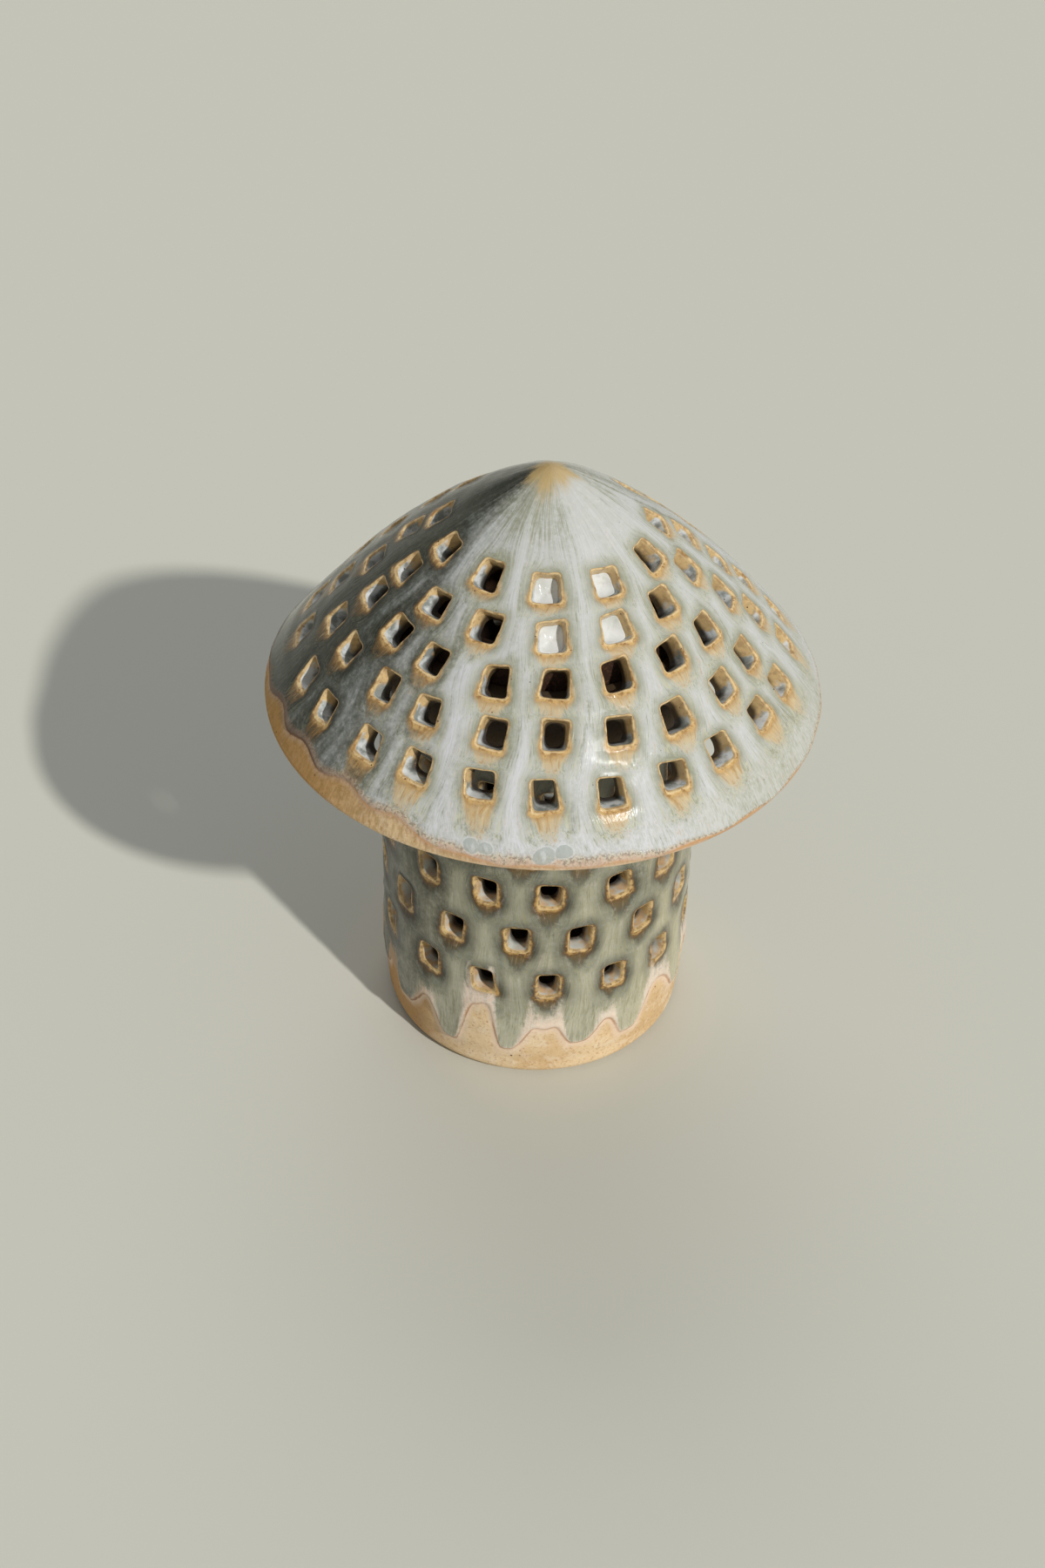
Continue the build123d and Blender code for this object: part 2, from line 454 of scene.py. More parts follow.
def bareClay(name, look):
    f = Finish(name)
    look = allShown(look)
    colour, height = clayParts(f, look)
    # painted shade: the insides are darkened where the mesh asks for it
    if look["soot"]:             # the inside stays dark
        colour = f.mix(f.read("dark"), colour, look["soot"])
    return f.finish(colour, f.band(f.noise(f.place, 160.0), 0.3, 0.7, 0.74, 0.92), height, 0.0005, 0.7)


def runGlaze(name, look):
    # glaze that ran down over pierced clay: streaks bend round the holes, edges break amber
    f = Finish(name)
    look = allShown(look)
    flow = f.read("flow", "Vector")
    edge, column, cover, thin, tone = [f.read(label) for label in ("edge", "column", "cover", "thin", "tone")]

    def streak(turns, length, detail=3.0, roughness=0.62, distortion=0.35):
        return f.noise(f.stretched(flow, (turns, turns, length)), 1.0, detail, roughness, distortion)

    crown = f.read("crown")
    hair = f.blend(crown, streak(look["hairs"], look["hairLength"]),
                   streak(look["hairs"] * 0.4, look["hairLength"] * 0.8))
    strand = streak(look["strands"], look["strandLength"], 3.0, 0.60, 0.6)
    ribbon = streak(look["ribbons"], 0.035, 2.0, 0.50, 0.6)
    fur = streak(look["hairs"] * 2.3, look["hairLength"] * 1.7, 2.0, 0.6, 0.2)
    cloud = f.noise(f.place, 22.0, 3.0, 0.5)
    mottle = f.noise(f.place, 640.0, 4.0, 0.75)
    worn = f.noise(f.place, 620.0, 3.0, 0.6)
    stipple = f.noise(f.place, 1500.0, 2.0, 0.65)

    # painted shade: a colour paired with its darker copy, used on the left side
    def withLeftShade(label):            # a colour that turns darker on the left
        return f.mix(f.band(leaning, 0.0, -0.7), *look[label])

    # body: milky hairs over a darker glass, which shows where the glaze crowds past the holes
    # the tone with its painted shade on the left, shaken by noise; its dark share is partly slate glaze at random,
    # partly painted shade
    leaning = f.ragged(tone, ribbon, 0.75, cloud, 0.8, mottle, 0.5)
    straw = f.band(leaning, 0.0, 1.0)
    slateAndShade = f.band(leaning, 0.0, -1.0)
    glass, body, milk = [f.mix(slateAndShade, f.mix(straw, front, right), left)
                         for front, right, left in zip(look["front"], look["right"], look["left"])]
    near = f.band(f.ragged(column, strand, 3.0), look["crowd"], 0.3)
    veil = f.line(near, -look["crowdLess"], look["veil"])
    # painted shade: dims the crown away from its lit right side, and the stem towards the top under the cap
    veil = f.line(f.read("dimShade"), -look["dimShadeDepth"], veil)
    veil = f.ragged(veil, mottle, 0.55)
    calm = f.line(f.add(slateAndShade, f.times(crown, 0.5)), -0.6, look["streaks"])
    for noise, reach in ((hair, 1.5), (fur, 1.1), (strand, 0.65), (ribbon, 1.0)):
        veil = f.ragged(veil, noise, f.times(calm, reach))
    f.colour = f.mix(f.band(veil, 0.0, 0.5), glass, body)
    f.over(milk, veil, 0.5, 1.0)
    f.lay(f.times(f.ragged(near, hair, 0.8), look["crowdShow"]), withLeftShade("crowdTone"))
    fibres = f.band(f.add(mottle, f.times(fur, 0.6)), 0.78, 1.0, 0.0, look["fibreShow"])
    # fewer pale fibres on the left, as part of the painted shade
    f.lay(f.times(fibres, f.line(slateAndShade, -0.9, 1.0)), look["fibre"])
    thread = f.band(f.calc("ABSOLUTE", f.calc("SUBTRACT", strand, 0.5)), 0.035, 0.0)
    f.lay(f.times(thread, f.line(near, 0.55, 0.12)), withLeftShade("thread"))

    # deeper glaze round each hole, with painted shade: stronger on the right of each hole, and darker on the left
    # side
    halo = f.ragged(f.read("halo"), hair, 0.8, fur, 0.5, strand, 0.3)
    f.over(withLeftShade("halo"), halo, 0.0, 0.85, look["haloShow"])

    # skirt that streaks down from the lower lip
    skirt = f.read("skirt")
    for noise, reach in ((hair, 0.85), (fur, 0.7), (strand, 0.6), (mottle, 0.6)):
        skirt = f.ragged(skirt, noise, reach * look["skirtRough"])
    f.over(withLeftShade("fringe"), skirt, 0.06, 0.60, look["skirtShow"] * 0.85)
    f.over(withLeftShade("tan"), skirt, 0.34, 0.98, look["skirtShow"])
    # the amber of the skirt is darkened on the left as painted shade
    f.over(f.mix(f.times(slateAndShade, 0.6), look["amber"], look["amberDark"]),
           skirt, look["amberFrom"], look["amberFrom"] + 0.4, look["skirtShow"])
    within = f.band(skirt, 0.25, 0.70)
    f.lay(f.times(within, f.band(hair, 0.52, 0.68, 0.0, 0.45 * look["skirtRough"])), look["amberDark"])
    f.lay(f.times(within, f.band(hair, 0.46, 0.34, 0.0, 0.35 * look["skirtRough"])), look["amberPale"])

    # glaze that broke thin over the lip of each hole, and the wall behind it
    patch = f.noise(f.place, 190.0, 2.0)
    lip = f.ragged(f.read("lip"), worn, 1.2, f.noise(f.place, 260.0, 2.0), 2.4)
    amber = f.mix(f.band(worn, 0.44, 0.66), look["amber"], look["amberDark"])
    amber = f.mix(f.band(stipple, 0.54, 0.70, 0.0, 0.5), amber, look["amberDark"])
    # the lip pales towards the mouth, partly where the glaze broke thinnest, partly as a painted highlight along the
    # edge
    paleAndGlint = f.mix(f.band(f.ragged(lip, patch, 1.0), 0.50, -0.1, 0.0, 0.8), amber, look["amberPale"])
    f.over(look["amberDark"], lip, 2.4, 1.2, look["lipEdge"])
    f.over(paleAndGlint, lip, 1.50, 0.60, 0.92)
    milky = f.mix(f.band(f.noise(f.place, 300.0), 0.4, 0.62), look["wallMilk"], look["wallGrey"])
    high = f.ragged(f.read("high"), patch, 2.6)
    wall = f.mix(f.band(high, look["milkUpTo"], look["milkUpTo"] + 0.4), milky, f.mix(0.45, amber, look["amberPale"]))
    f.over(wall, f.ragged(edge, patch, 1.2), -0.45, -0.95)
    # painted shade deep inside each hole
    f.over(look["throatShade"], f.ragged(edge, patch, 2.0), -2.8, -4.8, 0.92)
    rimLine = f.times(f.band(edge, 0.10, -0.25), f.band(edge, -0.85, -0.40))
    f.lay(f.times(rimLine, f.band(worn, 0.38, 0.58, 0.10, 0.60)), look["amberDark"])

    # ochre bloom at the tip
    bloom = f.ragged(f.read("tip"), strand, 1.0, hair, 0.9, mottle, 0.6)
    f.over(look["ochre"], bloom, 0.15, 0.80, 0.85)
    f.over(look["amberDark"], bloom, 0.90, 1.25, 0.55)

    # glaze thinned out over the clay, and glaze that gathered below the skirts
    thinned = f.ragged(thin, strand, 0.8, hair, 0.7, mottle, 0.6)
    scorched = f.mix(f.band(stipple, 0.44, 0.58, 0.0, 0.85), look["thin"], look["scorch"])
    scorched = f.mix(f.band(thinned, 0.75, 1.05, 0.0, 0.7), scorched, look["blush"])
    thinned = f.ragged(thinned, worn, 0.5)
    # the thinned glaze takes a darker copy on the left as painted shade
    f.over(f.mix(slateAndShade, scorched, look["thinLeftShade"]), thinned, 0.0, 1.0, look["thinShow"])
    blob = f.ragged(f.read("blob"), worn, 0.12, patch, 0.45)
    f.over(look["wallMilk"], blob, -0.14, 0.02, 0.40)
    f.over(look["blob"], blob, 0.02, 0.16, 0.62)
    f.lay(f.times(f.band(blob, 0.10, 0.70), f.band(strand, 0.50, 0.62, 0.0, 0.5)), look["wallMilk"])

    # iron specks that came through
    nearLip = f.band(edge, 2.4, 0.4)
    for scale, size, share, more in ((900.0, 0.26, 0.12, 0.85), (330.0, 0.09, 0.25, 0.5)):
        dots = f.times(f.specks(scale, size, share), f.line(nearLip, more, 1 - more))
        f.lay(dots, look["iron"])

    # where the glaze stops: a rust line, then bare clay
    frayed = f.ragged(cover, worn, 0.7)
    clay, clayHeight = clayParts(f, look, f.band(tone, 0.0, -0.65, 0.0, 0.76))
    clay = f.mix(f.band(f.ragged(frayed, cloud, 2.0), -look["blushWide"], -0.2, 0.0, 0.7), clay, look["blush"])
    streaked = f.band(f.add(hair, f.times(worn, 0.7)), 0.60, 1.10, 0.20, 0.70)
    clay = f.mix(f.times(f.read("wash"), streaked), clay, look["wash"])
    # painted shade: the bare neck of the stem is darkened
    clay = f.mix(f.read("dark"), clay, look["neckShade"])
    line = f.times(f.band(frayed, -0.45, 0.0), f.band(frayed, 0.8, 0.15))
    line = f.times(line, f.band(f.noise(f.place, 90.0, 2.0), 0.30, 0.62, 0.20, 0.85))
    glazed = f.band(frayed, -0.12, 0.12)
    # the rust line is darker on the left as painted shade
    rust = f.mix(f.band(tone, -0.2, -0.8), look["rustPale"], look["rustLeftShade"])
    f.colour = f.mix(line, f.mix(glazed, clay, f.colour), rust)
    # painted shadow under the cap, on the top of the stem
    f.lay(f.read("shade"), look["throatShade"])

    gloss = f.band(f.add(hair, f.times(mottle, 0.6)), 0.5, 1.1, look["gloss"], look["gloss"] + 0.10)
    gloss = f.blend(f.times(f.band(thinned, 0.3, 0.8), f.band(blob, 0.06, 0.0)), gloss, 0.5)
    gloss = f.band(edge, -2.6, -4.2, gloss, 0.6)
    fine = f.add(f.add(f.times(hair, 0.22), f.times(strand, 0.40)), f.times(mottle, 0.08))
    height = f.blend(glazed, f.times(clayHeight, 1.2), fine)
    f.shader.inputs["IOR"].default_value = 1.5
    f.shader.inputs["Specular IOR Level"].default_value = 0.25
    return f.finish(f.colour, f.blend(glazed, 0.82, gloss), height, 0.00035, 0.6)


clayLook = {
    "clay": (232, 206, 166), "toasted": (216, 184, 138), "grog": (240, 222, 194),
    "rust": (178, 126, 82), "iron": (66, 34, 24), "shadeClay": (174, 124, 58), "soot": None}

# bare clay of the insides, darker than the foot as painted shade
insideShadeLook = dict(
    clayLook, clay=(176, 136, 100), toasted=(152, 110, 76), grog=(190, 156, 122),
    rust=(120, 78, 50), soot=(32, 21, 15))

# front, right and left: the glass, the body and the milk of the glaze on each side; the left ones are darkened as
# painted shade
capLook = dict(
    clayLook,
    front=[(154, 155, 136), (194, 196, 192), (214, 215, 219)],
    right=[(152, 150, 124), (180, 180, 166), (196, 197, 190)],
    left=[(26, 30, 23), (52, 57, 46), (86, 91, 79)],
    veil=0.68, crowd=4.6, crowdLess=0.34, dimShadeDepth=0.54, streaks=1.05,
    # in each pair the second colour is the painted-shade copy for the left side
    thread=((204, 202, 168), (112, 114, 92)),
    halo=((130, 132, 108), (20, 22, 18)), haloShow=0.76,
    fringe=((200, 184, 154), (70, 60, 42)), tan=((202, 174, 128), (112, 86, 50)),
    skirtShow=0.88, amberFrom=0.80,
    amber=(206, 170, 112), amberDark=(150, 110, 62), amberPale=(232, 208, 160), ochre=(188, 160, 104),
    wallMilk=(214, 218, 218), wallGrey=(142, 148, 144), milkUpTo=-0.35,
    thin=(200, 186, 158), scorch=(120, 92, 62), thinLeftShade=(120, 98, 82), wash=(150, 118, 64),
    crowdTone=((176, 178, 160), (40, 44, 38)), crowdShow=0.25,
    fibre=(218, 220, 224), fibreShow=0.22, skirtRough=1.0, lipEdge=0.35,
    throatShade=(40, 30, 23), neckShade=(54, 39, 29), blush=(206, 176, 154),
    thinShow=0.88, blob=(156, 163, 156), rustPale=(196, 148, 100), rustLeftShade=(104, 72, 50),
    hairs=96.0, strands=38.0, ribbons=8.0, hairLength=0.18, strandLength=0.09, gloss=0.07, blushWide=2.0)

# stem: the left colours and the second of each pair are painted shade, as on the cap
stemLook = dict(
    clayLook,
    front=[(114, 114, 96), (158, 156, 132), (190, 187, 164)],
    right=[(136, 128, 92), (176, 168, 132), (200, 194, 162)],
    left=[(52, 52, 43), (84, 83, 69), (120, 119, 105)],
    veil=0.58, crowd=6.0, crowdLess=0.14, dimShadeDepth=0.22, streaks=1.0, thread=((164, 158, 120), (104, 100, 76)),
    halo=((58, 56, 46), (34, 33, 27)), haloShow=0.92,
    fringe=((76, 75, 64), (44, 42, 35)), tan=((112, 92, 58), (80, 62, 38)),
    skirtShow=0.90, amberFrom=0.95,
    amber=(194, 154, 92), amberDark=(104, 74, 40), amberPale=(226, 198, 144), ochre=(190, 170, 120),
    wallMilk=(196, 198, 190), wallGrey=(204, 172, 132), milkUpTo=0.0,
    thin=(232, 219, 203), scorch=(222, 202, 184), thinLeftShade=(196, 160, 124), wash=(200, 160, 110),
    crowdTone=((114, 119, 110), (50, 53, 48)), crowdShow=0.46,
    fibre=(150, 154, 150), fibreShow=0.45, skirtRough=0.45, lipEdge=0.65,
    throatShade=(38, 29, 22), neckShade=(50, 37, 28), blush=(236, 212, 190),
    thinShow=0.92, blob=(158, 170, 164), rustPale=(176, 128, 88), rustLeftShade=(112, 78, 54),
    hairs=70.0, strands=22.0, ribbons=6.0, hairLength=0.12, strandLength=0.06, gloss=0.08, blushWide=3.0)

capFinish = runGlaze("capRunGlaze", capLook)
stemFinish = runGlaze("stemRunGlaze", stemLook)
insideShadeFinish = bareClay("insideClayShaded", insideShadeLook)
print("finishes made")


# cap
cap = {
    "radius": (capHigh[0] - capLow[0]) / 2,
    "tip": capHigh[2],
    "lip": capLow[2],
    "lipDrop": 1.4,
    "wall": 6.0,
    "coneShare": 0.675,          # part of the rise that is a straight cone
    "bellyPower": 2.54,
    "tipRound": 2.5,
    "holeWidth": 6.7,            # mouth, between the rounded lips
    "holeHeight": 7.4,
    "firstRing": 27.8,
    "ringPitch": 9.05,
    "rimBand": 11.0,
    "holeSpacing": 16.45,
    "droop": 18.0,               # degrees, outermost ring
    "perSide": 14,
    "steps": {"skin": 7, "lip": 4, "wall": 5},
    "lipSize": 0.5,
    "lips": (0.28, 0.5, 1.1),    # width of the amber above, beside and below a hole
    "seam": 0.35,                # half height of the strip that joins two rings
    "bareSide": -54.0,           # azimuth where the glaze stops short of the rim
    "closed": ((0, 0), (0, 1), (1, 0), (1, 1)),   # ring and place of the holes that glaze has closed
}
cap["rise"] = cap["tip"] - cap["lip"] - cap["lipDrop"]


def bandOf(count, turn, top, bottom, seam):
    # the sides between its cells, and the ring itself without half the seam above and below
    sides = turn + (np.arange(count + 1) - 0.5) * 2 * pi / count
    return sides, {"count": count, "first": sides[0], "top": top + seam, "bottom": bottom - seam}


def capCurve():
    r = cap["radius"] * np.linspace(0, 1, 400) ** 1.3
    soft = np.sqrt(r * r + cap["tipRound"] ** 2) - cap["tipRound"]
    t = soft / soft[-1]
    drop = cap["rise"] * (cap["coneShare"] * t + (1 - cap["coneShare"]) * t ** cap["bellyPower"])
    return Path(r, cap["tip"] - drop)


upper = capCurve()
rimS = upper.length
insideR = upper.r - upper.nr * cap["wall"]
insideZ = upper.z - upper.nz * cap["wall"]
insideRimS = float(np.interp(-cap["lip"], -insideZ, upper.s))
insideRimR = float(np.interp(insideRimS, upper.s, insideR))
lipR, lipZ = arc(cap["radius"] - cap["lipDrop"], cap["lip"] + cap["lipDrop"], cap["lipDrop"], 0, -90)
capLine = Path(np.concatenate([upper.r, lipR, [insideRimR]]), np.concatenate([upper.z, lipZ, [cap["lip"]]]))


def capCells():
    lastRadius = cap["radius"] - cap["rimBand"]
    rings = 1 + round((lastRadius - cap["firstRing"]) / cap["ringPitch"])
    radii = np.linspace(cap["firstRing"], lastRadius, rings)
    places = [capLine.sAtRadius(radius, rimS) for radius in radii]
    half = (places[-1] - places[0]) / (rings - 1) / 2
    limits = [places[0] - half] + [(a + b) / 2 for a, b in zip(places, places[1:])] + [places[-1] + half]
    cells = []
    bands = []
    for ring, ringRadius in enumerate(radii):
        count = round(2 * pi * ringRadius / cap["holeSpacing"])
        turn = radians(4.2 * sin(radians(40 * ring)))
        sides, band = bandOf(count, turn, limits[ring], limits[ring + 1], cap["seam"])
        bands.append(band)
        last = ring == rings - 1
        for k in range(count):
            azimuth = turn + 2 * pi * k / count + radians(1.1 * sin(9.7 * k + 3.1 * ring))
            radius = ringRadius + 0.45 * sin(7.3 * k + 1.7 * ring)
            front = bump(wrapped(azimuth + radians(5)), 0, 0.30)
            hole = {
                "width": cap["holeWidth"] * (1 + 0.07 * sin(5.3 * k + ring + 1)),
                "height": cap["holeHeight"] * (1 + 0.06 * sin(3.9 * k + 2.2 * ring)),
                "squareness": 8.0, "innerSquareness": 2.8,
                "innerShare": 0.87 + 0.12 * sin(2.2 * ring - 2.8 + 0.7 * sin(3.1 * k)),
                "roll": radians(5.5 * sin(4.7 * k + 1.9 * ring)),
                "taper": 0.018 * sin(8.1 * k + 2.5 * ring), "shear": 0.09 * sin(6.3 * k + 0.9 * ring),
                "pinch": 0.014 * sin(5.9 * k + 1.3 * ring),
                "droop": cap["wall"] * sin(radians(cap["droop"])) if last else 0.25,
                "skirt": (4.4, 5.0, 6.0, 7.6, 10.0)[ring] * (1 + 0.18 * sin(6.7 * k + ring)),
                "lips": cap["lips"], "haloReach": 2.1, "haloAbove": 0.60, "uneven": 0.014,
                "dimple": 0.26, "raised": 0.10,
                "blob": front if last else 0, "blobDrop": 11.0 + 0.6 * sin(3.1 * k)}
            span = (sides[k], sides[k + 1], band["top"], band["bottom"])
            cell = Cell(azimuth, capLine.sAtRadius(radius, rimS), span, radius, hole)
            cell.closed = (ring, k) in cap["closed"]
            cells.append(cell)
    return cells, bands


capHoles, capBands = capCells()


def capGlazeEdge(azimuth):
    # how far above the rim the glaze stops, and how far above that it is thin
    away = np.abs(wrapped(azimuth - radians(cap["bareSide"])))
    scallop = np.cos(capBands[-1]["count"] * (azimuth - radians(1.4)))
    bare = 1 - smooth(away, radians(14), radians(44))
    front = bump(wrapped(azimuth - radians(2)), 0, radians(24))
    full = bump(wrapped(azimuth - radians(62)), 0, radians(40))
    edge = 0.3 - 0.7 * full + wander(azimuth, 0, 3, 0.3) + bare * (5.4 + 1.2 * scallop) + (1 - bare) * 0.3 * scallop
    thin = 1.5 + 2.6 * front + wander(azimuth * 2, 0, 5, 0.6) + 1.0 * bare
    return edge, thin


def capFields(azimuth, s, depth):
    field = holeFields(capHoles, azimuth, s, depth)
    radius = np.maximum(capLine.at(s)[0], 6)
    turned = azimuth + field["bend"] / radius + 0.020 * np.sin(s * 0.16 + 2 * azimuth)
    edge, thin = capGlazeEdge(azimuth)
    cover = np.where(depth > 0, 6.0, rimS - s - edge)
    onSide = smooth(s, 2, 12) * (1 - smooth(s, rimS - 2, rimS))
    lumps = wander(azimuth * 2, s * 3, 5, 0.22) + wander(azimuth * 5, s * 6, 2, 0.10)
    lumps = lumps + 0.025 * np.sin(s * 0.9 + 0.6 * np.sin(azimuth))
    fade = 1 - smooth(depth, 0.3, 2.5)
    thick = 0.28 * smooth(cover, -0.15, 0.9) + 0.22 * bump(cover, 0.9, 0.6) - 0.28
    thick = thick + 0.25 * smooth(field["blob"], -0.1, 0.5)
    relief = (field["relief"] * (1 - smooth(s, rimS - 3, rimS)) + lumps * onSide) * fade
    relief = relief + thick * (depth == 0) * (1 - smooth(s, rimS - 0.2, rimS + 0.4))
    tone = toneAndShadeRound(azimuth + radians(9) * (1 - smooth(s, 24, 58)))
    tone = np.where(tone > 0, tone * (0.8 + 1.6 * smooth(s, rimS - 16, rimS - 5)), tone)
    tongue = bump(wrapped(azimuth), 0, 0.55)
    tip = 1 - smooth(s + 1.2 * np.sin(3 * azimuth + 1) + 0.9 * np.sin(7 * azimuth), 1, 10 + 6 * tongue)
    return relief, {
        "flow": flowOf(turned, s, field["column"]), "cover": cover, "crown": 1 - smooth(s, 12, 36),
        # painted shade on the crown, except on its lit right side
        "dimShade": (1 - smooth(s, 12, 36)) * (1 - bump(wrapped(azimuth - radians(52)), 0, radians(34))),
        "thin": np.where(depth > 0, 0, 1 - smooth(cover, thin * 0.2, thin * 1.25)),
        **{name: field[name] for name in ("edge", "lip", "column", "skirt", "halo", "high")},
        "tip": tip, "wash": 1 - smooth(s, rimS - 0.3, rimS + 0.8),
        "blob": np.where(depth > 0, -1, field["blob"]), "tone": tone, "shade": s * 0, "dark": s * 0}


capOuter = Skin(poles=[0])
capInner = Skin(inward=True)
pierce(capHoles, capBands, cap, capOuter, capInner)
capOuter.rows(bandRing(cap, capBands[0], "top"), capBands[0]["top"] * np.linspace(0, 1, 34) ** 1.15)
capOuter.rows(bandRing(cap, capBands[-1], "bottom"), np.linspace(capBands[-1]["bottom"], rimS, 22))
capOuter.rows(bandRing(cap, capBands[-1], "bottom"), np.linspace(rimS, capLine.length, 10))
insideTopS = float(np.interp(0.6, insideR, upper.s))
capInner.rows(bandRing(cap, capBands[0], "top", cap["wall"]), np.linspace(insideTopS, capBands[0]["top"], 12))
capInner.rows(bandRing(cap, capBands[-1], "bottom", cap["wall"]), np.linspace(capBands[-1]["bottom"], insideRimS, 5))


capGlazed = pieceFrom("capGlazed", capOuter, capLine, capFields, "cap", capFinish, ["cap_shell"])
# painted shade: the inside of the cap darkens away from the rim
capInside = pieceFrom("capInside", capInner, capLine,
                      lambda azimuth, s, depth: (s * 0, {"dark": 1 - smooth(s, rimS - 13, rimS - 3) * 0.8}),
                      "cap", insideShadeFinish)


# glaze that closed four holes of the cap
bridge = {
    "depth": 3.3,                # at the wall of the hole
    "sag": 1.3,                  # deeper in the middle
    "thickness": 1.2,
    "rings": 9,
    "corners": 40,
}


def makeBridges():
    skin = Skin()
    angle = -np.arange(bridge["corners"]) * 2 * pi / bridge["corners"]
    for cell in capHoles:
        if not cell.closed:
            continue
        rim = cell.corners(angle, 0.1, bridge["depth"], cap["wall"])
        middle = np.array([cell.azimuth, cell.s - 0.1, 0])
        top = []
        for share in np.linspace(1, 0, bridge["rings"]):
            ring = middle + (rim - middle) * [share, share, 0]
            ring[:, 2] = bridge["depth"] + bridge["sag"] * (1 - share ** 2.4)
            ring[:, 2] -= 0.8 * share * (1 - share) * np.cos(angle * 2 + cell.s)
            top.append(ring)
        low = [ring + [0, 0, bridge["thickness"]] for ring in top[::-1]]
        skin.grid(np.array(low + top))
    return skin


def milkGlaze(name):
    f = Finish(name)
    small = f.noise(f.place, 330.0, 3.0, 0.6)
    large = f.noise(f.place, 120.0, 2.0)
    colour = f.mix(f.band(large, 0.4, 0.65), shown(222, 224, 222), shown(196, 200, 196))
    colour = f.mix(f.band(small, 0.52, 0.72, 0.0, 0.5), colour, shown(176, 178, 168))
    colour = f.mix(f.times(f.specks(500.0, 0.3, 0.12), 0.6), colour, shown(110, 84, 60))
    return f.finish(colour, f.band(small, 0.3, 0.7, 0.08, 0.2), f.add(f.times(small, 0.3), large), 0.0003, 0.4)


glazeBridges = pieceFrom("glazeBridges", makeBridges(), capLine, lambda azimuth, s, depth: (s * 0, {}),
                         "cap", milkGlaze("milkGlaze"), ["glaze_bridges"])


# stem
stem = {
    "radius": stemHigh[0],
    "top": stemHigh[2],
    "floor": floorHigh[2],
    "wall": 5.2,
    "footRound": 3.5,
    "footTaper": 1.8,
    "footTaperHeight": 22.0,
    "rimRound": 0.9,
    "holeWidth": 5.6,
    "holeHeight": 8.0,
    "halfHole": 4.4,             # half the height of the punch
    "firstRow": 37.3,
    "rowPitch": 16.8,
    "holeSpacing": 18.55,
    "rowTurn": 6.0,
    "plainNeck": 20.0,
    "neck": 17.0,                # bare clay at the top
    "peaks": (20.5, 20, 24, 25, 22, 18, 24, 20, 22, 26, 21, 24, 19, 20, 27.5),   # glaze edge below each lowest hole
    "drips": (13, 11, 14, 10.5, 15, 10, 12, 15, 9, 13, 11, 14, 12, 8.5, 11),     # and on the way to the next hole
    "leans": (0, -4, 3, 1, -3, 3, 0, 2, -3, 3, -1, 3, -2, -2, -3.5),         # of each drip off the halfway line
    # where between a drip and a peak the edge is fully up: smaller for a flatter top
    "arches": (0.78, 0.97, 0.84, 0.74, 0.92, 0.78, 0.9, 0.74, 0.94, 0.8, 0.9, 0.76, 0.92, 0.94, 0.80),
    "perSide": 14,
    "steps": {"skin": 6, "lip": 4, "wall": 4},
    "lipSize": 0.9,
    "lips": (0.45, 0.90, 1.35),
    "seam": 0.3,
}


def stemCurve():
    # over the rim, down the outside, round the foot and under it to the axis
    z = np.linspace(stem["top"] - stem["rimRound"], stem["footRound"], 300)
    r = stem["radius"] - stem["footTaper"] * np.maximum(0, 1 - z / stem["footTaperHeight"]) ** 2
    bend = stem["rimRound"]
    firstR, firstZ = arc(stem["radius"] - stem["wall"] + bend, stem["top"] - bend, bend, 180, 90)
    overR, overZ = arc(stem["radius"] - bend, stem["top"] - bend, bend, 90, 0)
    footR, footZ = arc(r[-1] - stem["footRound"], stem["footRound"], stem["footRound"], 0, -90, 20)
    return Path(np.concatenate([firstR, overR, r, footR, [0]]), np.concatenate([firstZ, overZ, z, footZ, [0]]))


stemLine = stemCurve()
stemRimS = float(stemLine.s[np.argmax(stemLine.r > stem["radius"] - 1e-6)])
underS = float(stemLine.s[-2])   # where the foot meets the table


def sOfHeight(z):
    return stemRimS + stem["top"] - stem["rimRound"] - z


def stemCells():
    count = round(2 * pi * stem["radius"] / stem["holeSpacing"])
    pierced = stem["top"] - stem["plainNeck"] - stem["halfHole"] - stem["firstRow"]
    cells = []
    bands = []
    for row in reversed(range(1 + floor(pierced / stem["rowPitch"]))):
        height = stem["firstRow"] + row * stem["rowPitch"]
        turn = radians(stem["rowTurn"] if row % 2 == 0 else -stem["rowTurn"])
        halfRow = stem["rowPitch"] / 2
        sides, band = bandOf(count, turn, sOfHeight(height + halfRow), sOfHeight(height - halfRow), stem["seam"])
        bands.append(band)
        for k in range(count):
            azimuth = turn + 2 * pi * k / count + radians(1.1 * sin(8.3 * k + 2.9 * row))
            s = sOfHeight(height + 0.5 * sin(6.1 * k + 1.3 * row))
            hole = {
                "width": stem["holeWidth"] * (1 + 0.06 * sin(5.9 * k + row)),
                "height": stem["holeHeight"] * (1 + 0.06 * sin(4.3 * k + 2.7 * row)),
                "squareness": 4.5, "innerSquareness": 3.0, "innerShare": 0.90,
                "roll": radians(3.0 * sin(3.7 * k + 2.3 * row)),
                "taper": 0.014 * sin(7.1 * k + 1.5 * row), "shear": 0.05 * sin(5.3 * k + 2.9 * row),
                "pinch": 0.010 * sin(4.9 * k + 2.3 * row), "droop": -0.3,
                "skirt": 8.6 + 1.4 * sin(5.1 * k + row), "lips": stem["lips"], "haloReach": 2.9,
                "haloAbove": 0.5, "uneven": 0.012, "dimple": 0.42, "raised": 0.34, "blob": 0}
            span = (sides[k], sides[k + 1], band["top"], band["bottom"])
            cells.append(Cell(azimuth, s, span, stem["radius"], hole))
    return cells, bands


stemHoles, stemBands = stemCells()


